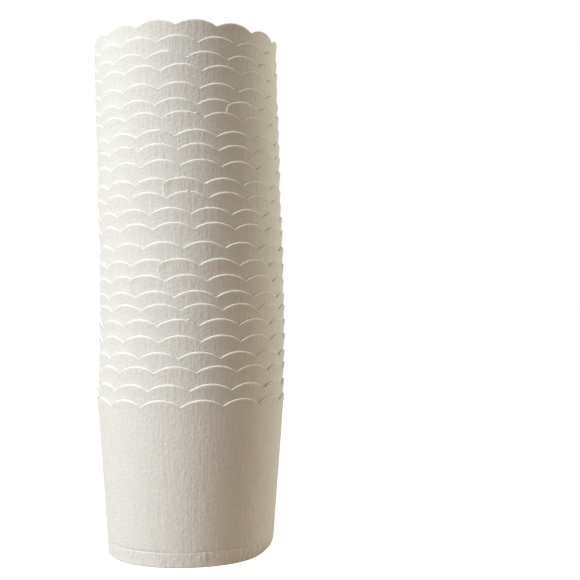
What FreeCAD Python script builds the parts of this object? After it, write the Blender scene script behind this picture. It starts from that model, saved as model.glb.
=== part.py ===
"""A stack of 25 white paper baking cups with scalloped rims, nested in one another.

Each cup is made from two pieces of greaseproof paper. The wall is a fan with a die-cut
scalloped edge, rolled into a cone and glued along a lapped side seam. The base is a disc
set up inside the foot of the wall. In the bottom cup, whose foot shows, the base has its
down-turned skirt and the wall's edge is folded in and up round it.

The cups stand loosely: each comes to rest on the base of the one below, or wedges in its
wall, and a little slack and a turn of its own are then added, cup by cup.

Lengths are millimetres and angles are degrees. The origin is the middle of the bottom
cup's foot, with +Z up the stack. Seen from above, turns run anticlockwise from +X.
"""
import FreeCAD, Part
import math
import os

# Driving dimensions

SIZES = [
    ("cup_height", 50.5, "foot to the top of a scallop"),
    ("foot_radius", 26.0, "outside of the foot, where it stands"),
    ("wall_slope", 4.53, "lean of the wall away from upright, in degrees"),
    ("paper", 0.10, "thickness of the paper"),
    ("scallops", 15, "scallops along the blank"),
    ("lap_share", 0.27, "share of a scallop hidden in the side seam"),
    ("scallop_depth", 2.1, "top of a scallop down to the notch beside it"),
    ("flats_each", 3, "flats that one scallop of wall is drawn with"),
    ("seam_riser", 0.3, "degrees over which the flap's free edge steps up"),
    ("base_top", 3.85, "upper face of the base above the foot"),
    ("hem_height", 3.3, "height of the wall's edge that is folded in and up"),
    ("ply_gap", 0.02, "film of air between two sheets that lie together"),
    ("seat_gap", 0.05, "least air between a foot and the base under it"),
    ("side_gap", 0.02, "least air between two walls, beside the seams"),
]

# Each cup above the first, from the bottom up: the air it stands proud by, and the turn
# of its side seam. The first turn is the bottom cup's.
SLACKS = [0.8, 1.5, 0.35, 1.1, 1.0, 0.7, 0.05, 0.95, 0.9, 1.25, 1.85, 0.6,
          0.95, 0.35, 1.55, 0.95, 0.35, 1.6, 0.1, 1.0, 1.6, 0.1, 0.85, 0.85]
TURNS = [74, 128, 58, 97, 135, 85, 148, 120, -122, -103, 102, 82, 155,
         91, -100, 50, 123, 72, 138, -60, 63, 88, 153, 109.7, 147.5]

doc = FreeCAD.newDocument("baking_cups")
sheet = doc.addObject("Spreadsheet::Sheet", "sizes")
for row, (name, value, meaning) in enumerate(SIZES, start=1):
    sheet.set(f"A{row}", name)
    sheet.set(f"B{row}", str(value))
    sheet.set(f"C{row}", meaning)
    sheet.setAlias(f"B{row}", name)
doc.recompute()
size = {name: getattr(sheet, name) for name, _, _ in SIZES}

# A face counts as flat if its fourth corner lies this near the plane of the others
TWIST_LIMIT = 1e-6

# Sizes that follow from them

slope = math.tan(math.radians(size["wall_slope"]))
paper = size["paper"]
scallops = int(size["scallops"])
flats_each = int(size["flats_each"])
pitch = 360.0 / (scallops - size["lap_share"])
flat = pitch / flats_each
rim_radius = size["foot_radius"] + slope * size["cup_height"]
scallop_width = math.radians(pitch) * rim_radius
scallop_radius = scallop_width ** 2 / (8 * size["scallop_depth"]) + size["scallop_depth"] / 2

# How far the middle of a flat lies inside the round that its corners lie on
flat_sag = rim_radius * (1 - math.cos(math.radians(flat / 2)))
seat_rise = size["base_top"] + size["seat_gap"]
wedge_rise = (2 * paper + flat_sag + size["side_gap"]) / slope
nest_rise = max(seat_rise, wedge_rise)


def scallop_height(angle):
    """Height of the die-cut edge at an angle along the blank, from its outer end."""
    from_middle = (angle / pitch % 1 - 0.5) * scallop_width
    drop = scallop_radius - math.sqrt(scallop_radius ** 2 - from_middle ** 2)
    return size["cup_height"] - drop


def rim_height(angle):
    """Height of the rim round the cup. In the seam, the higher of the two plies shows."""
    under = angle + 360.0
    if under < scallops * pitch:
        return max(scallop_height(angle), scallop_height(under))
    return scallop_height(angle)


# Stations round the wall: the angle, and how far the outer ply of the seam lifts it.
# The flap's free edge stands at 0 and steps up from the ply before it.

seam_notch = pitch * size["lap_share"] / 2
flap_end = flat
last_flat = int((360.0 - size["seam_riser"]) / flat)
STATIONS = [(0.0, paper), (seam_notch, paper), (flap_end, paper)]
STATIONS += [(step * flat, 0.0) for step in range(2, last_flat + 1)]
STATIONS += [(360.0 - size["seam_riser"], 0.0)]


def ring(inset, height, stations=STATIONS, lapped=True):
    """The corners of a closed line round the paper cone, inset from its outer face.

    The height is a number, or a function of the angle for a line that rises and falls.
    """
    corners = []
    for angle, lap in stations:
        z = height(angle) if callable(height) else height
        radius = size["foot_radius"] + slope * z - inset + (lap if lapped else 0)
        turn = math.radians(angle)
        corners.append(FreeCAD.Vector(radius * math.cos(turn), radius * math.sin(turn), z))
    return corners


def flat_face(*corners):
    """A flat face with these corners."""
    return Part.Face(Part.makePolygon([*corners, corners[0]]))


def faces_between(lower, upper):
    """The flats from one ring to the next. One that would be twisted is two triangles."""
    faces = []
    for here in range(len(lower)):
        a, b, c, d = lower[here - 1], lower[here], upper[here], upper[here - 1]
        normal = (b - a).cross(c - a).normalize()
        if abs(normal.dot(d - a)) < TWIST_LIMIT:
            faces.append(flat_face(a, b, c, d))
        else:
            faces += [flat_face(a, b, c), flat_face(a, c, d)]
    return faces


def paper_solid(rings, capped=False):
    """The sheet whose section runs from ring to ring.

    It closes round from the last ring to the first, or with a flat face on each.
    """
    pairs = list(zip(rings, rings[1:]))
    if not capped:
        pairs.append((rings[-1], rings[0]))
    faces = [face for lower, upper in pairs for face in faces_between(lower, upper)]
    if capped:
        faces += [flat_face(*rings[0]), flat_face(*rings[-1])]
    skin = Part.makeCompound(faces)
    skin.sewShape()
    solid = Part.makeSolid(skin.Shells[0])
    if solid.Volume < 0:
        solid.reverse()
    return solid


def wall_solid():
    """A plain wall: one ply, with the second ply of its side seam."""
    return paper_solid([
        ring(0, rim_height),
        ring(paper, rim_height, lapped=False),
        ring(paper, 0, lapped=False),
        ring(0, 0),
    ])


def footed_wall_solid():
    """The wall with its lower edge folded in and up, round the skirt of the base."""
    skirt_room = 2 * paper + 2 * size["ply_gap"]
    hem_inner = skirt_room + paper
    return paper_solid([
        ring(0, rim_height),
        ring(paper, rim_height, lapped=False),
        ring(paper, paper, lapped=False),
        ring(skirt_room, paper, lapped=False),
        ring(skirt_room, size["hem_height"], lapped=False),
        ring(hem_inner, size["hem_height"], lapped=False),
        ring(hem_inner, 0, lapped=False),
        ring(0, 0),
    ])


def base_solid(stations):
    """A plain base disc, set up inside the wall."""
    edge = paper + size["ply_gap"]
    return paper_solid([
        ring(edge, size["base_top"], stations, lapped=False),
        ring(edge, size["base_top"] - paper, stations, lapped=False),
    ], capped=True)


def skirted_base_solid():
    """The base disc with its edge turned down between the wall and its folded hem."""
    edge = paper + size["ply_gap"]
    lip = paper + size["ply_gap"]
    return paper_solid([
        ring(edge, size["base_top"], lapped=False),
        ring(edge, lip, lapped=False),
        ring(edge + paper, lip, lapped=False),
        ring(edge + paper, size["base_top"] - paper, lapped=False),
    ], capped=True)


# The solids that repeat, made once

under_notches = [(step * pitch, 0.0) for step in range(scallops)]
plain_wall = wall_solid()
footed_wall = footed_wall_solid()
hidden_base = base_solid(under_notches)
open_base = base_solid(STATIONS)
skirted_base = skirted_base_solid()

# The stack

cups = len(TURNS)
foot = 0.0
for number, turn in enumerate(TURNS, start=1):
    if number == 1:
        wall, base = footed_wall, skirted_base
    else:
        wall = plain_wall
        base = open_base if number == cups else hidden_base
        foot += nest_rise + SLACKS[number - 2]
    place = FreeCAD.Placement(
        FreeCAD.Vector(0, 0, foot), FreeCAD.Rotation(FreeCAD.Vector(0, 0, 1), turn))
    for piece, shape in (("wall", wall), ("base", base)):
        label = f"liner_{number:02d}_{piece}"
        feature = doc.addObject("Part::Feature", label)
        feature.Label = label
        feature.Shape = shape
        feature.Placement = place

doc.recompute()

# Check every object, then write one file for each piece

pieces = [thing for thing in doc.Objects if thing.isDerivedFrom("Part::Feature")]
for thing in doc.Objects:
    if "Invalid" in thing.State or "Error" in thing.State:
        raise RuntimeError(f"{thing.Label}: {thing.State}")
for piece in pieces:
    if piece.Shape.isNull() or not piece.Shape.isValid() or len(piece.Shape.Solids) != 1:
        raise RuntimeError(f"{piece.Label} is not one sound solid")

os.makedirs("parts", exist_ok=True)
for piece in pieces:
    piece.Shape.exportStep(os.path.join("parts", piece.Label + ".step"))

top = foot + size["cup_height"]
print(f"{len(pieces)} pieces, rim {2 * rim_radius:.1f} mm across, stack {top:.1f} mm high")
print(f"nest rise {nest_rise:.2f} mm, scallop pitch {pitch:.2f} degrees, {scallop_width:.2f} mm wide")
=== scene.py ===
# %% [markdown]
# A stack of tall white baking cups
#
# Each cup is two pieces of greaseproof paper. The wall is a fan-shaped blank with a die-cut
# scalloped edge, rolled into a cone and glued where its ends lap. The base is a disc with its
# edge turned down, held up inside the foot by the wall's own edge, which is folded in round it.
# Twenty-five cups stand in one another, each turned its own way, so that what shows of most of
# them is a narrow band with a row of scallops on top.
#
# The script first loads the solid model that everything has to fit. It then makes the two
# papers, rolls a wall for each cup, sets its base inside, and ends with the floor, the lamps
# and the camera.

import math
import random

import bmesh
import bpy
from mathutils import Matrix, Vector, noise


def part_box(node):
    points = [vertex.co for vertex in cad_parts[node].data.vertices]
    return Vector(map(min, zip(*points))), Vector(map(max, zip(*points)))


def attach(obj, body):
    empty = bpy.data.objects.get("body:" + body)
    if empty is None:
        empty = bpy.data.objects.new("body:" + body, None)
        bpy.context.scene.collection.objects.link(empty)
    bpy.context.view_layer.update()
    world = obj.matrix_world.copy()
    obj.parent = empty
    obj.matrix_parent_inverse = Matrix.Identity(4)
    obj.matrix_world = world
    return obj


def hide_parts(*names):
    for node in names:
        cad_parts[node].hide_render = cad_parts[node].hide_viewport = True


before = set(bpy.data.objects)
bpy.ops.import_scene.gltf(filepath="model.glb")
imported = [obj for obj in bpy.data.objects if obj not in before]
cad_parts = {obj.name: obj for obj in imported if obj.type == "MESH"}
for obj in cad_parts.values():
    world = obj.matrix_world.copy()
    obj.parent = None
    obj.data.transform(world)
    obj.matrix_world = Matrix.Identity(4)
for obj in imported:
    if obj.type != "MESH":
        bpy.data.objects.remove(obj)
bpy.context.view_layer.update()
wall_nodes = sorted(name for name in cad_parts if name.endswith("_wall"))
print(f"{len(wall_nodes)} cups in the frame")

# %% [markdown]
# The sizes of one cup
#
# All lengths are millimetres until a piece is finished and scaled to metres. The height of the
# cup and the way its seam faces are read from the solid model, cup by cup. Two things are
# measured from how the stack looks. The lowest cups are spread by all that stands in them, so
# their feet and rims are wider than the others'. The stack also leans a little, one way and
# then the other, as loose cups do: its middle is given at six heights. And most cups have
# settled a degree or two round from where the solids stand.

# %% Sizes
MM = 0.001

low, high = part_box(wall_nodes[-1])
CUP_HEIGHT = (high.z - low.z) / MM + 0.21  # the frame's flats miss the very top of a scallop
FOOT_RADIUS = 26.1
RIM_RADIUS = 29.95
FOOT_SPREAD = 0.45
RIM_SPREAD = 0.45
LEAN = [  # height, and how far to the right
    (0, -0.75), (45, -0.35), (75, 0.4), (95, 0.35), (120, -0.3), (165, -0.95)]
SETTLED = [  # degrees, from the lowest cup up
    0.3, 0, 0, -0.6, -1.2, -1.2, -1.5, -1.5, -2.7, -1.4, -2.3, -0.2, -1.3,
    0, 0, 0.6, -0.7, 0.5, 0, -1.3, 0, 1.3, 0.7, 1.9, 0]
PAPER = 0.12
PLY_GAP = 0.02

SCALLOPS = 15
LAP_SHARE = 0.27
SCALLOP_DEPTH = 2.1
TOP_SCALLOP_DEPTH = 1.65
CUT_RADIUS = 30.0  # turns an angle along the cut into millimetres
PITCH = math.tau / (SCALLOPS - LAP_SHARE)
SCALLOP_WIDTH = PITCH * CUT_RADIUS
LAP = SCALLOPS * PITCH - math.tau

print(f"a scallop is {SCALLOP_WIDTH:.1f} mm wide and {SCALLOP_DEPTH} mm deep")


def smooth(value, start, end):
    """0 before start and 1 after end, with a soft rise between them."""
    share = min(max((value - start) / (end - start), 0.0), 1.0)
    return share * share * (3 - 2 * share)


def stack_lean(height):
    """How far the stack's middle stands to the right at a height above the floor."""
    for (low, at_low), (high, at_high) in zip(LEAN, LEAN[1:]):
        if height < high:
            return at_low + (at_high - at_low) * smooth(height, low, high)
    return LEAN[-1][1]


# %% [markdown]
# The papers
#
# The paper is bleached greaseproof board: wood fibres beaten fine and pressed, with no gloss
# to speak of. Close to, it is faintly cloudy, it has a fine grain of fibres, and the rolling
# has drawn fine upright streaks into it, under a millimetre apart. All three are too shallow
# to break the outline, so they are noise in the colour and the bump. They follow the sheet
# and not the room, so they are read from a UV map that holds millimetres along and up the
# blank.

# %% Colours and nodes


def linear(hex_colour):
    """An sRGB hex colour as the linear RGBA that a shader wants."""
    channels = [int(hex_colour[i:i + 2], 16) / 255 for i in (1, 3, 5)]
    return [c / 12.92 if c <= 0.04045 else ((c + 0.055) / 1.055) ** 2.4 for c in channels] + [1.0]


def add_node(tree, kind, inputs=(), **settings):
    """Adds one node, makes its settings, and gives its inputs values or links."""
    node = tree.nodes.new("ShaderNode" + kind)
    for name, value in settings.items():
        setattr(node, name, value)
    for socket, value in dict(inputs).items():
        if isinstance(value, bpy.types.NodeSocket):
            tree.links.new(value, node.inputs[socket])
        else:
            node.inputs[socket].default_value = value
    return node


def new_material(name):
    """An empty node material, with its shader and its tree."""
    material = bpy.data.materials.new(name)
    material.use_nodes = True
    tree = material.node_tree
    return material, tree, tree.nodes["Principled BSDF"]


print(f"#808080 is {linear('#808080')[0]:.3f} in linear light")

# %% Greaseproof board
FIBRE_CLUMP = 1.0  # one fibre is too fine to show in the render, so they are drawn in clumps
STREAK_APART = 0.8
STREAK_LENGTH = 11.0
CLOUD_WIDTH = 4.0
STREAK_WEIGHT = 0.6
CLOUD_WEIGHT = 0.4
GRAIN_HEIGHT = 0.22


def greaseproof_board():
    """Bleached greaseproof board: matt, cloudy, with a fine grain and upright streaks."""
    material, tree, shader = new_material("greaseproof board")
    sheet = add_node(tree, "UVMap", uv_map="blank")
    fibres = add_node(tree, "TexNoise", {
        "Vector": sheet.outputs["UV"], "Scale": 1 / FIBRE_CLUMP, "Detail": 4.0, "Roughness": 0.7,
        "Distortion": 0.3})
    stretched = add_node(tree, "Mapping", {
        "Vector": sheet.outputs["UV"], "Scale": (1 / STREAK_APART, 1 / STREAK_LENGTH, 1.0)})
    streaks = add_node(tree, "TexNoise", {
        "Vector": stretched.outputs["Vector"], "Scale": 1.0, "Detail": 2.0, "Roughness": 0.5})
    clouds = add_node(tree, "TexNoise", {
        "Vector": sheet.outputs["UV"], "Scale": 1 / CLOUD_WIDTH, "Detail": 3.0, "Roughness": 0.55})

    grain = add_node(tree, "Math", {
        0: streaks.outputs["Fac"], 1: STREAK_WEIGHT, 2: fibres.outputs["Fac"]},
        operation="MULTIPLY_ADD")
    tone = add_node(tree, "Math", {
        0: clouds.outputs["Fac"], 1: CLOUD_WEIGHT, 2: grain.outputs["Value"]},
        operation="MULTIPLY_ADD")
    spread = add_node(tree, "MapRange", {
        "Value": tone.outputs["Value"], "From Min": 0.65, "From Max": 1.35})
    colour = add_node(tree, "ValToRGB", {"Fac": spread.outputs["Result"]})
    colour.color_ramp.elements[0].color = linear("#DFDEDA")
    colour.color_ramp.elements[1].color = linear("#ECECE7")

    bump = add_node(tree, "Bump", {
        "Height": grain.outputs["Value"], "Strength": 1.0, "Distance": GRAIN_HEIGHT * MM})
    shader.inputs["Roughness"].default_value = 0.72
    shader.inputs["Specular IOR Level"].default_value = 0.3
    tree.links.new(colour.outputs["Color"], shader.inputs["Base Color"])
    tree.links.new(bump.outputs["Normal"], shader.inputs["Normal"])
    return material


BOARD = greaseproof_board()
print("walls and bases:", BOARD.name)

# %% [markdown]
# The cut edge
#
# A die cuts the blank out of the board and leaves its edge open and a little crushed. The
# broken fibres there are whiter than the pressed face, and they catch the light as a thin pale
# line along every scallop. It is a second material, given to the cut itself and to the
# narrow crushed strip beside it. It is lighter than the board partly for the fibres' own white
# and partly as a painted highlight, which makes the pale line brighter and wider than the
# bent edge alone would. Fibres torn here and there make the line brighter and duller.

# %% Cut edge
TORN_STRETCH = 1.4


def cut_edge():
    """The die-cut edge: lighter than the face, partly its open fibres' own white and partly a
    painted highlight; quite matt.
    """
    material, tree, shader = new_material("cut edge")
    place = add_node(tree, "TexCoord")
    torn = add_node(tree, "TexNoise", {
        "Vector": place.outputs["Object"], "Scale": 1 / (TORN_STRETCH * MM), "Detail": 2.0})
    # The cut's colour is lighter than the board's: partly the open fibres' own white, partly a
    # painted highlight along the rim.
    colour = add_node(tree, "ValToRGB", {"Fac": torn.outputs["Fac"]})
    colour.color_ramp.elements[0].position = 0.3
    colour.color_ramp.elements[0].color = linear("#E8E5DB")
    colour.color_ramp.elements[1].position = 0.6
    colour.color_ramp.elements[1].color = linear("#F4F2EA")
    shader.inputs["Roughness"].default_value = 0.95
    shader.inputs["Specular IOR Level"].default_value = 0.2
    tree.links.new(colour.outputs["Color"], shader.inputs["Base Color"])
    return material


EDGE = cut_edge()
print("their edges:", EDGE.name)

# %% [markdown]
# The outline of the blank
#
# The cut edge is a row of fifteen equal arcs that meet in notches. Its two ends overlap in the
# side seam by about a quarter of a scallop. The end that lies outside has its corner rounded,
# and it is seen in front as a short upright line with a soft shoulder. Angles run along the
# blank from that end, so the notches are at whole pitches and the lap is what is past a turn.

# %% Cut line
CORNER_RADIUS = 0.9


def cut_height(angle, scallop_depth=SCALLOP_DEPTH):
    """Height of the cut edge above the foot, at an angle along the blank."""
    from_middle = (angle / PITCH % 1 - 0.5) * SCALLOP_WIDTH
    radius = SCALLOP_WIDTH ** 2 / (8 * scallop_depth) + scallop_depth / 2
    drop = radius - math.sqrt(radius ** 2 - from_middle ** 2)
    from_end = min(angle * CUT_RADIUS, CORNER_RADIUS)
    corner = CORNER_RADIUS - math.sqrt(CORNER_RADIUS ** 2 - (CORNER_RADIUS - from_end) ** 2)
    return CUP_HEIGHT - drop - corner


print(f"the notches are {cut_height(PITCH):.1f} mm above the foot")

# %% [markdown]
# Rows and columns
#
# A flat grid stands for the blank, and rolling it moves its points. A sheet of paper bends one
# way only, so its columns can be even, with sixteen to a scallop, or three times as many where
# the foot's small creases show. Its rows can't: the crushed edge is a fraction of a millimetre,
# and the foot has a crease and a fold, while the wall between them is straight and needs next
# to nothing. So each row has its own place. The rim's rows are depths below the cut, and the
# shares beside them are how much of the die's crush has bent the edge over at that depth. The
# foot's rows are heights, with how far the paper lies inside the cone. Only the lowest foot
# shows; the others are folded with fewer rows.

# %% Places of the rows and columns
CRUSH = [(0.0, 1.0), (0.09, 0.7), (0.2, 0.38), (0.33, 0.13), (0.48, 0.0)]
FLAP_LIFT = [(0.0, 0.0), (0.09, 0.05), (0.2, 0.085), (0.33, 0.1), (0.48, 0.1), (2.5, 0.0)]
CRUSH_WIDTH = 0.48
# How far from the cut the face gets the lighter edge colour, which is whiter fibres and a painted
# highlight that widens the pale rim line.
WHITE_AND_HIGHLIGHT_WIDTH = 0.34
RIM_DEPTHS = [depth for depth, _ in CRUSH] + [0.75, 1.2, 1.8, 2.6, 4.0, 6.0, 8.2]
FOLLOW_DEPTH = 8.2  # below this the rows no longer rise and fall with the scallops
WALL_HEIGHTS = [36.0, 30.0, 24.0, 18.0, 12.0, 7.5]

CREASE_HEIGHT = 4.65
HEM_INSET = 3 * PAPER + 2 * PLY_GAP
HEM_HEIGHT = 3.3
FOOT_ROWS = [
    (CREASE_HEIGHT + 0.9, 0.0), (CREASE_HEIGHT + 0.35, 0.0), (CREASE_HEIGHT + 0.15, 0.05),
    (CREASE_HEIGHT, 0.16), (CREASE_HEIGHT - 0.18, 0.06), (CREASE_HEIGHT - 0.5, 0.0),
    (3.7, 0.0), (3.2, 0.0), (2.7, 0.0), (2.2, 0.02), (1.7, 0.03), (1.2, 0.05), (0.8, 0.07),
    (0.5, 0.1), (0.25, 0.16), (0.08, 0.23), (0.0, 0.32), (0.06, HEM_INSET), (0.3, HEM_INSET),
    (0.8, HEM_INSET), (HEM_HEIGHT / 2, HEM_INSET), (2.4, HEM_INSET), (HEM_HEIGHT, HEM_INSET),
]
HIDDEN_FOOT_ROWS = [
    (CREASE_HEIGHT, 0.1), (3.2, 0.0), (0.3, 0.1), (0.0, 0.2), (0.3, HEM_INSET),
    (HEM_HEIGHT, HEM_INSET),
]
COLUMNS_EACH = 16
FOOT_COLUMNS_EACH = 48  # the crimps round the lowest foot are a third of a millimetre wide
LEAST_COLUMN = 0.3


def columns(per_scallop):
    """Angles of the grid's columns: close together at the seam's free end, then even."""
    close = [depth / CUT_RADIUS for depth, _ in CRUSH]
    even = [step * PITCH / per_scallop for step in range(SCALLOPS * per_scallop + 1)]
    return close + [angle for angle in even if angle > close[-1] + LEAST_COLUMN / CUT_RADIUS]


def profile(points, distance):
    """The value at a distance from the cut, by straight lines between the given points."""
    for (near, at_near), (far, at_far) in zip(points, points[1:]):
        if distance < far:
            return at_near + (at_far - at_near) * (distance - near) / (far - near)
    return points[-1][1]


for count in (COLUMNS_EACH, FOOT_COLUMNS_EACH):
    print(f"{count} columns to a scallop: {len(columns(count))} in all")

# %% [markdown]
# Rolling a wall
#
# Every point of the blank has an angle and a place down the sheet, and rolling puts it on the
# cone. The outer end of the seam lies one ply further out, which raises its edge as a step and
# lets the sheet come back to the cone over the next few millimetres. Above the cup outside it,
# where nothing presses on it, that end curls up a little more. No rim is quite round: slow noise
# lets each one stand out by up to a tenth of a millimetre, more towards the top, where nothing
# holds it, and the last three millimetres of every wall flare by a tenth.
#
# The die crushes the edge over as it cuts, and the cups were pressed together when they were
# packed. So the last half millimetre of each rim bends in until it all but touches the cup
# inside. It bends by whatever room there is, which changes round the rim, and the light from
# above catches it.

# %% Roll
RIM_FLARE = 0.1
RIM_WAVES = 1.4
RIM_FREE = 9.0
LIP_FLARE = 0.1
LIP_DEPTHS = (0.6, 3.4)
LAP_LIFT = PAPER + PLY_GAP
FLAP_CURL = 1.2
CURL_DEPTHS = (1.6, 3.4)
TOP_CRUSH = 0.12
RIM_AIR = 0.01
ASIDE = 0.012  # the cup above is felt for this far to either side, in radians
HALF_STEP = 0.05  # half the seam's step in the solid model


class Cup:
    """Where a cup stands, how its seam faces, and how far it is spread."""

    def __init__(self, node):
        self.number = int(node.split("_")[1])
        self.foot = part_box(node)[0].z / MM
        self.turn = seam_turn(node) + math.radians(SETTLED[self.number - 1])
        load = (1 - (self.number - 1) / (len(wall_nodes) - 1)) ** 3
        self.foot_radius = FOOT_RADIUS + FOOT_SPREAD * load
        self.slope = (RIM_RADIUS + RIM_SPREAD * load - self.foot_radius) / CUP_HEIGHT
        self.above = None
        self.scallop_depth = SCALLOP_DEPTH

    def radius(self, height):
        """Radius of the outer face of the cone at a height above the foot."""
        return self.foot_radius + self.slope * height

    def sheet_radius(self, angle, height):
        """The same with the seam's step and the rim's unevenness, at an angle from the seam."""
        slow = Vector((
            RIM_WAVES * math.cos(angle), RIM_WAVES * math.sin(angle), self.number * 5.3))
        free = 1 - smooth(CUP_HEIGHT - height, 0.0, RIM_FREE)
        flare = RIM_FLARE * (0.5 + 0.8 * noise.noise(slow)) * free
        flare += LIP_FLARE * (1 - smooth(CUP_HEIGHT - height, *LIP_DEPTHS))
        return self.radius(height) + lap_lift(angle) + flare

    def crush(self, angle, height):
        """How far the edge can bend in before it touches the cup above."""
        if self.above is None:
            return TOP_CRUSH
        across = angle + self.turn - self.above.turn
        height_there = height + self.foot - self.above.foot
        held = max(
            self.above.sheet_radius((across + aside) % math.tau, height_there)
            for aside in (-ASIDE, 0.0, ASIDE))
        return self.sheet_radius(angle, height) - held - PAPER - RIM_AIR


def seam_turn(node):
    """Where the outer end of the seam stands, read from the step that it makes at the foot."""
    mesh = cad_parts[node].data
    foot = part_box(node)[0].z
    ring = [v.co for v in mesh.vertices if v.co.z - foot < 0.01 * MM]
    furthest = max(co.xy.length for co in ring)
    lifted = [math.atan2(co.y, co.x) for co in ring if furthest - co.xy.length < HALF_STEP * MM]
    return min(lifted, key=lambda angle: max((other - angle) % math.tau for other in lifted))


def lap_lift(angle):
    """How far the outer end of the seam lies out of the cone."""
    return LAP_LIFT * (1 - smooth(angle, 1.15 * LAP, 2.6 * LAP))


def rolled(cup, angle, height, inset, depth):
    """A point of the blank on the cone. Depth is how far it is below the cut edge."""
    radius = cup.sheet_radius(angle, height) - inset
    if depth < CRUSH_WIDTH:
        over_inner_end = 1 - smooth(angle, 0.7 * LAP, 1.1 * LAP)
        radius -= cup.crush(angle, height) * profile(CRUSH, depth) * (1 - over_inner_end)
    if angle < LAP:
        curl = 1 + FLAP_CURL * (1 - smooth(depth, *CURL_DEPTHS))
        lift = profile(FLAP_LIFT, min(depth, angle * CUT_RADIUS))
        radius += curl * lift * (1 - smooth(angle, 0.7 * LAP, LAP))
    turned = angle + cup.turn
    aside = stack_lean(cup.foot + height)
    return Vector((radius * math.cos(turned) + aside, radius * math.sin(turned), height))


print(f"the outer end of a seam is lifted {LAP_LIFT:.2f} mm")

# %% [markdown]
# The crimped foot
#
# Where the wall is folded in round the base, it has less room than it needs, and a heated
# tool gathers the spare paper into short creases below the crease line. They are neither even
# nor all alike. Each is a narrow ridge or groove at a place of its own, strongest near the
# fold. Only the bottom cup shows its foot, so only its grid is close enough to hold them. On
# the right, where the stack has rested on its edge, the foot's corner is worn round as well.

# %% Crimps and the worn corner
CRIMPS = 170
CRIMP_WIDTH = 0.3
CRIMP_DEPTH = 0.18
WORN_HEIGHT = 4.2
WORN_INSET = 3.0
WORN_TURN = math.radians(-10)
WORN_SPAN = math.radians(50)
FOLD_HEIGHT = 0.35  # the fold itself stays whole, so the wear is the same all through it


def worn_corner(turned, height):
    """How far the worn part of the foot lies inside the cone."""
    away = abs((turned - WORN_TURN + math.pi) % math.tau - math.pi)
    if height > WORN_HEIGHT:
        return 0.0
    drop = 1 - max(height, FOLD_HEIGHT) / WORN_HEIGHT
    return WORN_INSET * (1 - smooth(away, 0.0, WORN_SPAN)) * (1 - math.sqrt(1 - drop * drop))


def crimp_places(seed):
    """Angle, width, depth, middle height and half length of each small crease round a foot."""
    draw = random.Random(seed)
    return [(draw.uniform(0, math.tau), CRIMP_WIDTH * draw.uniform(0.7, 1.8),
             CRIMP_DEPTH * draw.uniform(-1.0, 0.9), draw.uniform(0.6, 4.0), draw.uniform(0.6, 1.8))
            for _ in range(CRIMPS)]


def crimped(crimps, angle, height):
    """How far the creases push the foot's face out at a point."""
    if not 0.0 < height < CREASE_HEIGHT:
        return 0.0
    total = 0.0
    for place, width, depth, middle, half_length in crimps:
        along = abs((angle - place + math.pi) % math.tau - math.pi) * FOOT_RADIUS
        if along < 2 * width:
            fade = 1 - smooth(abs(height - middle), 0.3 * half_length, half_length)
            total += depth * math.exp(-(along / width) ** 2 * 2) * fade
    return total * smooth(height, 0.0, 0.4)


def crease_strength(angle):
    """How sharp the crease is at an angle. It comes and goes round the foot."""
    around = Vector((3 * math.cos(angle), 3 * math.sin(angle), 0.5))
    return max(0.5, 0.8 + 0.7 * noise.noise(around))


print(f"{CRIMPS} crimps, up to {CRIMP_DEPTH} mm deep")

# %% [markdown]
# Torn fibres
#
# Where the die was blunt, a few fibres stand torn on the cut as white flecks. Eleven groups
# of them show. They could be painted on as a pattern, but then they would have no shape of
# their own and throw no shadow, so each is a small flake of the cut's own white that lies
# nearly flat. A group is given by the two pixels of the photograph between which it lies, and
# a line of sight from the camera finds the place on the cup: it is halved again and again,
# until its near part is all in front of the paper.
#
# The camera stands a third of a metre away at half the stack's height, so it sees the lower
# rims from above and the upper ones from below. It is aimed past the stack's right side, tipped
# up by two degrees and rolled by less than one.

# %% Line of sight and flecks
IMAGE_SIZE = 580
FOCAL_PIXELS = 970.5
CAMERA_PLACE = Vector((0.0325, -0.320, 0.0725))
CAMERA_PITCH = math.radians(2.05)
CAMERA_ROLL = math.radians(-0.74)
CAMERA_TURN = (
    Matrix.Rotation(math.pi / 2 + CAMERA_PITCH, 3, "X") @ Matrix.Rotation(CAMERA_ROLL, 3, "Z"))

FLECK_GROUPS = [  # cup, then x and y of the group's left and right ends
    (24, 231, 43, 232, 43), (23, 167, 50, 179, 54), (19, 194, 113, 197, 115),
    (18, 160, 130, 171, 135), (17, 128, 149, 134, 151), (16, 204, 160, 211, 165),
    (14, 188, 191, 189, 191), (7, 248, 307, 251, 310),
    (6, 187, 320, 194, 324), (6, 233, 324, 234, 325), (5, 225, 336, 234, 339),
]
FLECK_SIZE = 0.3
FLECK_SHAPE = (0.28, 1.2, 0.9)  # out of the paper, across it and up
FLECKS_APART = 1.7  # pixels
FLECK_TILT = math.radians(-12)
FLECK_RISE = 0.2
SIGHT_START = 200.0  # millimetres in front of the camera, well short of the stack
SIGHT_END = 320.0
HALVINGS = 30
flecks_drawn = random.Random(8)


def on_cup(cup, x, y):
    """The point of a cup's outer face that shows at a pixel of the photograph."""
    pixel = Vector((x - IMAGE_SIZE / 2, IMAGE_SIZE / 2 - y, -FOCAL_PIXELS))
    ray = CAMERA_TURN @ pixel / FOCAL_PIXELS
    near, far = SIGHT_START, SIGHT_END
    for _ in range(HALVINGS):
        point = CAMERA_PLACE / MM + ray * (near + far) / 2
        from_axis = math.hypot(point.x - stack_lean(point.z), point.y)
        if from_axis > cup.radius(point.z - cup.foot) + LIP_FLARE:
            near = (near + far) / 2
        else:
            far = (near + far) / 2
    return point


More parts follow.
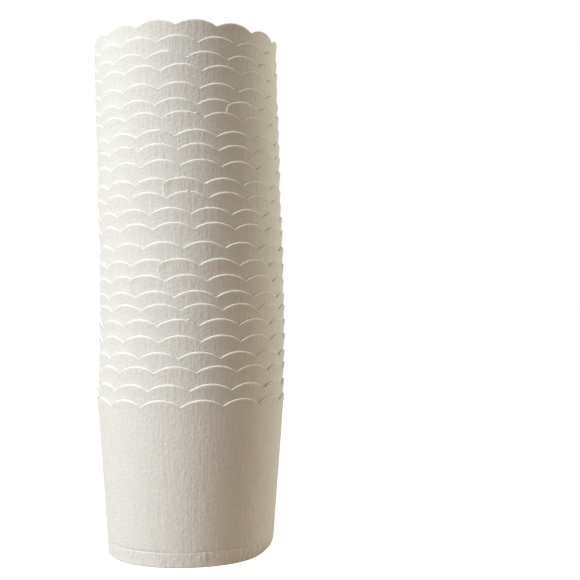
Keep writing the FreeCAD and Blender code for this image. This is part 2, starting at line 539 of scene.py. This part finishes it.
def add_flecks(bm, cup):
    """Adds a cup's torn fibres to its wall, and gives them the material of the cut."""
    for number, left, left_y, right, right_y in FLECK_GROUPS:
        if number != cup.number:
            continue
        count = 1 + round((right - left) / FLECKS_APART)
        for step in range(count):
            share = (step + flecks_drawn.uniform(0.2, 0.8)) / count
            x = left + share * (right - left)
            y = left_y + share * (right_y - left_y) + flecks_drawn.uniform(-0.7, 0.7)
            point = on_cup(cup, x, y)
            point.z += FLECK_RISE - cup.foot
            around = math.atan2(point.y, point.x)
            size = FLECK_SIZE * flecks_drawn.uniform(0.6, 1.3)
            shape = Matrix.Diagonal([size * share for share in FLECK_SHAPE] + [1.0])
            tilted = Matrix.Rotation(FLECK_TILT, 4, "Y") @ shape
            made = bmesh.ops.create_icosphere(
                bm, subdivisions=1, radius=1.0,
                matrix=Matrix.Translation(point) @ Matrix.Rotation(around, 4, "Z") @ tilted)
            for face in {face for vert in made["verts"] for face in vert.link_faces}:
                face.material_index = 1
                face.smooth = True


print(f"{len(FLECK_GROUPS)} groups of flecks")

# %% [markdown]
# Making a wall
#
# A wall could be a cone with a scalloped shape cut out of its top. It would have no lapped
# seam, though, and the grain of the board would have nothing to follow. So the blank is made
# flat, as the real one is, and then rolled. It starts as a square grid, whose columns and rows
# are looked up in the lists above. Its points are rolled, and solidify then gives the sheet the
# thickness of paper, with sharp edges where it was cut. The strip beside the cut gets the
# lighter edge material, whiter fibres with a painted highlight, and the foot of the lowest cup
# gets its creases and its worn corner. The UV map keeps each point's place on the blank, in
# millimetres, for the grain of the board.

# %% Roll the blank
BOARD_RADIUS = 28.0  # turns an angle into millimetres along the middle of the blank


def wall_mesh(cup, per_scallop, crimps=()):
    """A wall as a rolled sheet with no thickness, in millimetres."""
    angles = columns(per_scallop)
    rows = [("rim", depth, 0.0) for depth in RIM_DEPTHS]
    rows += [("wall", height, 0.0) for height in WALL_HEIGHTS]
    foot_rows = FOOT_ROWS if crimps else HIDDEN_FOOT_ROWS
    rows += [("foot", height, inset) for height, inset in foot_rows]

    bm = bmesh.new()
    sheet = bm.loops.layers.uv.new("blank")
    cut_distance = bm.verts.layers.float.new("cut_distance")
    bmesh.ops.create_grid(bm, x_segments=len(angles) - 1, y_segments=len(rows) - 1, size=0.5)
    on_blank = {}
    for vert in bm.verts:
        angle = angles[round((vert.co.x + 0.5) * (len(angles) - 1))]
        part, place, inset = rows[round((0.5 - vert.co.y) * (len(rows) - 1))]
        cut = cut_height(angle, cup.scallop_depth)
        if part == "rim":
            follow = (1 - place / FOLLOW_DEPTH) ** 2
            height = CUP_HEIGHT - place - (CUP_HEIGHT - cut) * follow
            depth = place
        else:
            height = place
            depth = cut - height
        if part == "foot" and crimps:
            if abs(height - CREASE_HEIGHT) < 0.3:
                inset *= crease_strength(angle)
            if inset < 0.7 * HEM_INSET:
                inset -= crimped(crimps, angle, height)
            inset += worn_corner(angle + cup.turn, height)
        vert.co = rolled(cup, angle, height, inset, depth)
        vert[cut_distance] = min(depth, angle * CUT_RADIUS)
        on_blank[vert] = (angle * BOARD_RADIUS, height)
    for face in bm.faces:
        for loop in face.loops:
            loop[sheet].uv = on_blank[loop.vert]
    return bm


# %% Give it thickness and make it a piece
def thicken(bm):
    """Turns an open sheet that faces outwards into paper, with the cut edge in its material."""
    shell = set(bm.verts)
    bmesh.ops.solidify(bm, geom=bm.faces[:], thickness=-PAPER)
    cut = {f for f in bm.faces if 0 < sum(v in shell for v in f.verts) < len(f.verts)}
    for face in bm.faces:
        face.smooth = True
    for face in cut:
        face.material_index = 1
    for edge in bm.edges:
        sides = [face in cut for face in edge.link_faces]
        if len(sides) == 2 and sides[0] != sides[1]:
            edge.smooth = False


def finish_piece(bm, name, node):
    """Scales a bmesh to metres and makes it the piece that stands for a node."""
    bmesh.ops.scale(bm, vec=(MM, MM, MM), verts=bm.verts)
    mesh = bpy.data.meshes.new(name)
    bm.to_mesh(mesh)
    bm.free()
    mesh.materials.append(BOARD)
    mesh.materials.append(EDGE)
    piece = bpy.data.objects.new(name, mesh)
    bpy.context.scene.collection.objects.link(piece)
    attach(piece, "root")
    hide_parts(node)
    return piece


# %% Make a wall
def make_wall(cup, node):
    """The rolled wall of a cup, with lighter paper along its cut edge: whiter fibres and a painted
    highlight.
    """
    shows_foot = cup.number == 1
    if shows_foot:
        bm = wall_mesh(cup, FOOT_COLUMNS_EACH, crimp_places(cup.number))
    else:
        bm = wall_mesh(cup, COLUMNS_EACH)
    first = next(iter(bm.faces))
    first.normal_update()
    centre = first.calc_center_median()
    if first.normal.x * centre.x + first.normal.y * centre.y < 0:
        bmesh.ops.reverse_faces(bm, faces=bm.faces[:])
    distance = bm.verts.layers.float["cut_distance"]
    # The strip beside the cut gets the lighter edge colour, partly a painted highlight.
    for face in bm.faces:
        if max(vert[distance] for vert in face.verts) <= WHITE_AND_HIGHLIGHT_WIDTH:
            face.material_index = 1
    thicken(bm)
    add_flecks(bm, cup)
    for vert in bm.verts:
        vert.co.z = max(vert.co.z, 0.0) + cup.foot
    return finish_piece(bm, f"cup_{cup.number:02d}_wall", node)


# %% [markdown]
# The base
#
# The base is a disc of the same board with its edge turned down, so that it stands like a
# shallow lid inside the foot. A disc and a ring would do from above, but the real base is one
# sheet, and so is this one. A circle with one face is inset for a faint dish, and its rim is
# drawn down into the skirt. The turn between them is bevelled, because paper never folds to a
# hard corner, and then the sheet gets its thickness.

# %% Make a base
BASE_TOP = 3.85
SKIRT_LIP = PAPER + 0.1
SKIRT_ROWS = [2.8, 1.7, 0.8, SKIRT_LIP]  # close enough to follow the worn corner
BASE_DISH = 0.25
DISH_STEPS = [(0.12, 0.02), (0.25, 0.4), (0.25, 0.35), (0.2, 0.23)]  # shares in, shares down
FOLD_ROUNDING = 0.3
DISC_CORNERS = 120


def make_base(cup, node):
    """A cup's base, with its down-turned skirt between the wall and the folded hem."""
    clearance = PAPER + PLY_GAP
    top_radius = cup.radius(BASE_TOP) - clearance
    bm = bmesh.new()
    corners = DISC_CORNERS if cup.number in (1, len(cups)) else DISC_CORNERS // 2
    bmesh.ops.create_circle(bm, cap_ends=True, segments=corners, radius=top_radius)
    disc = bm.faces[:]
    rim = [edge for edge in bm.edges if edge.is_boundary]
    for share, drop in DISH_STEPS:
        bmesh.ops.inset_region(
            bm, faces=disc, thickness=share * top_radius, depth=-drop * BASE_DISH)
    edge = rim
    for height in SKIRT_ROWS if cup.number == 1 else [SKIRT_LIP]:
        made = bmesh.ops.extrude_edge_only(bm, edges=edge)["geom"]
        edge = [item for item in made if isinstance(item, bmesh.types.BMEdge) and item.is_boundary]
        for vert in (item for item in made if isinstance(item, bmesh.types.BMVert)):
            vert.co.xy = vert.co.xy.normalized() * (cup.radius(height) - clearance)
            vert.co.z = height - BASE_TOP
    bmesh.ops.bevel(
        bm, geom=rim, offset=FOLD_ROUNDING, offset_type="OFFSET", segments=3, profile=0.5,
        affect="EDGES", material=-1)
    bmesh.ops.recalc_face_normals(bm, faces=bm.faces[:])
    if max(bm.faces, key=lambda face: face.calc_area()).normal.z < 0:
        bmesh.ops.reverse_faces(bm, faces=bm.faces[:])
    sheet = bm.loops.layers.uv.new("blank")
    for face in bm.faces:
        for loop in face.loops:
            loop[sheet].uv = loop.vert.co.xy
    thicken(bm)
    for vert in bm.verts:
        height = max(vert.co.z + BASE_TOP, PLY_GAP)
        if cup.number == 1:
            shrink = 1 - worn_corner(math.atan2(vert.co.y, vert.co.x), height) / top_radius
            vert.co.x *= shrink
            vert.co.y *= shrink
        vert.co.x += stack_lean(cup.foot + height)
        vert.co.z = cup.foot + height
    return finish_piece(bm, f"cup_{cup.number:02d}_base", node)


# %% [markdown]
# The stack
#
# Each cup learns which one stands in it, so that its rim can bend in against that one, and then
# its wall and base are made.

# %% Make the stack
cups = [Cup(node) for node in wall_nodes]
for cup, above in zip(cups, cups[1:]):
    cup.above = above
cups[-1].scallop_depth = TOP_SCALLOP_DEPTH
for cup, node in zip(cups, wall_nodes):
    wall = make_wall(cup, node)
    base = make_base(cup, node.replace("wall", "base"))
    if cup.number in (1, 2):
        for piece in (wall, base):
            print(f"{piece.name}: {len(piece.data.polygons)} faces")

# %% [markdown]
# The floor and the world
#
# The stack stands on a plain floor with nothing behind it, and both look white. A room that
# really was white would wash the shading out of white paper, so they are white only to the
# camera, straight or by way of gloss or glass, and throw back only a little warm light. The
# floor is a touch less bright near the stack, so that its soft shadow shows there.

# %% Floor
WHITE = linear("#FFFFFF")
FLOOR_SIZE = 3.0
SHADE_START = 0.05  # metres from the middle of the stack
SHADE_END = 0.45
SHADE_WHITE = 0.9  # how white the floor is nearer than that


def seen_directly(tree):
    """The socket that is 1 for what the camera sees by itself, in gloss or through glass."""
    path = add_node(tree, "LightPath")
    seen = path.outputs["Is Camera Ray"]
    for way in ("Is Glossy Ray", "Is Transmission Ray"):
        either = add_node(tree, "Math", {0: seen, 1: path.outputs[way]}, operation="MAXIMUM")
        seen = either.outputs["Value"]
    return seen


def floor_material():
    """A matt white floor that shows as white where it is lit and keeps a soft shadow."""
    material, tree, shader = new_material("white floor")
    shader.inputs["Base Color"].default_value = linear("#BB9B82")
    shader.inputs["Roughness"].default_value = 0.9
    place = add_node(tree, "TexCoord")
    away = add_node(tree, "VectorMath", {0: place.outputs["Object"]}, operation="LENGTH")
    white = add_node(tree, "MapRange", {
        "Value": away.outputs["Value"], "From Min": SHADE_START, "From Max": SHADE_END,
        "To Min": SHADE_WHITE, "To Max": 1.0})
    shader.inputs["Emission Color"].default_value = WHITE
    glow = add_node(tree, "Math", {
        0: seen_directly(tree), 1: white.outputs["Result"]}, operation="MULTIPLY")
    tree.links.new(glow.outputs["Value"], shader.inputs["Emission Strength"])
    return material


bm = bmesh.new()
bmesh.ops.create_grid(bm, x_segments=1, y_segments=1, size=FLOOR_SIZE)
floor_mesh = bpy.data.meshes.new("floor")
bm.to_mesh(floor_mesh)
bm.free()
floor_mesh.materials.append(floor_material())
floor = bpy.data.objects.new("floor", floor_mesh)
bpy.context.scene.collection.objects.link(floor)
print("floor", 2 * FLOOR_SIZE, "m across")

# %% World
world = bpy.data.worlds.new("studio")
bpy.context.scene.world = world
world.use_nodes = True
sky = world.node_tree
background = sky.nodes["Background"]
background.inputs["Color"].default_value = linear("#FFDAA0")
background.inputs["Strength"].default_value = 0.02
to_camera = add_node(sky, "Background", {"Color": WHITE, "Strength": 1.0})
mix = add_node(sky, "MixShader", {
    0: seen_directly(sky), 1: background.outputs[0], 2: to_camera.outputs[0]})
sky.links.new(mix.outputs[0], sky.nodes["World Output"].inputs["Surface"])
print("world:", world.name)

# %% [markdown]
# The lamps
#
# The light is soft and comes mostly from a large lamp on the left, as from a window. It stands
# well round to the side, so the shading runs from bright at the left to its darkest right of
# the middle. A weaker lamp on the right, a little behind the stack, lifts the far side again,
# and a small one overhead picks out the crushed edges.

# %% Lamps
LAMP_AIM = Vector((0.0, 0.0, 0.08))


def area_lamp(name, turn, distance, height, size, energy, colour):
    """A square lamp aimed at the stack. Its turn is degrees from the front, left negative."""
    light = bpy.data.lights.new(name, "AREA")
    light.size = size
    light.energy = energy
    light.color = linear(colour)[:3]
    lamp = bpy.data.objects.new(name, light)
    around = math.radians(turn)
    lamp.location = (distance * math.sin(around), -distance * math.cos(around), height)
    aim = LAMP_AIM - lamp.location
    lamp.rotation_euler = aim.to_track_quat("-Z", "Y").to_euler()
    bpy.context.scene.collection.objects.link(lamp)
    print(f"lamp {name}: {energy} W")


area_lamp("window", turn=-55, distance=1.1, height=0.86, size=0.6, energy=21.7, colour="#F0FAFF")
area_lamp("far_side", turn=114, distance=1.0, height=0.38, size=0.5, energy=5.6, colour="#FDFFEC")
area_lamp("ceiling", turn=0, distance=0.1, height=0.95, size=0.5, energy=2.0, colour="#FFFBF4")

# %% [markdown]
# The camera
#
# The camera has the place and the turn that the torn fibres were found with. Its lens is the
# focal length in pixels, scaled from the picture's width to the sensor's.

# %% Camera
SENSOR = 36.0

camera_data = bpy.data.cameras.new("camera")
camera_data.sensor_width = SENSOR
camera_data.lens = FOCAL_PIXELS / IMAGE_SIZE * SENSOR
camera_data.clip_start = 0.01
camera = bpy.data.objects.new("camera", camera_data)
camera.matrix_world = Matrix.Translation(CAMERA_PLACE) @ CAMERA_TURN.to_4x4()
bpy.context.scene.collection.objects.link(camera)
bpy.context.scene.camera = camera
bpy.context.scene.view_settings.view_transform = "Standard"
print(f"a lens of {camera_data.lens:.1f} mm")
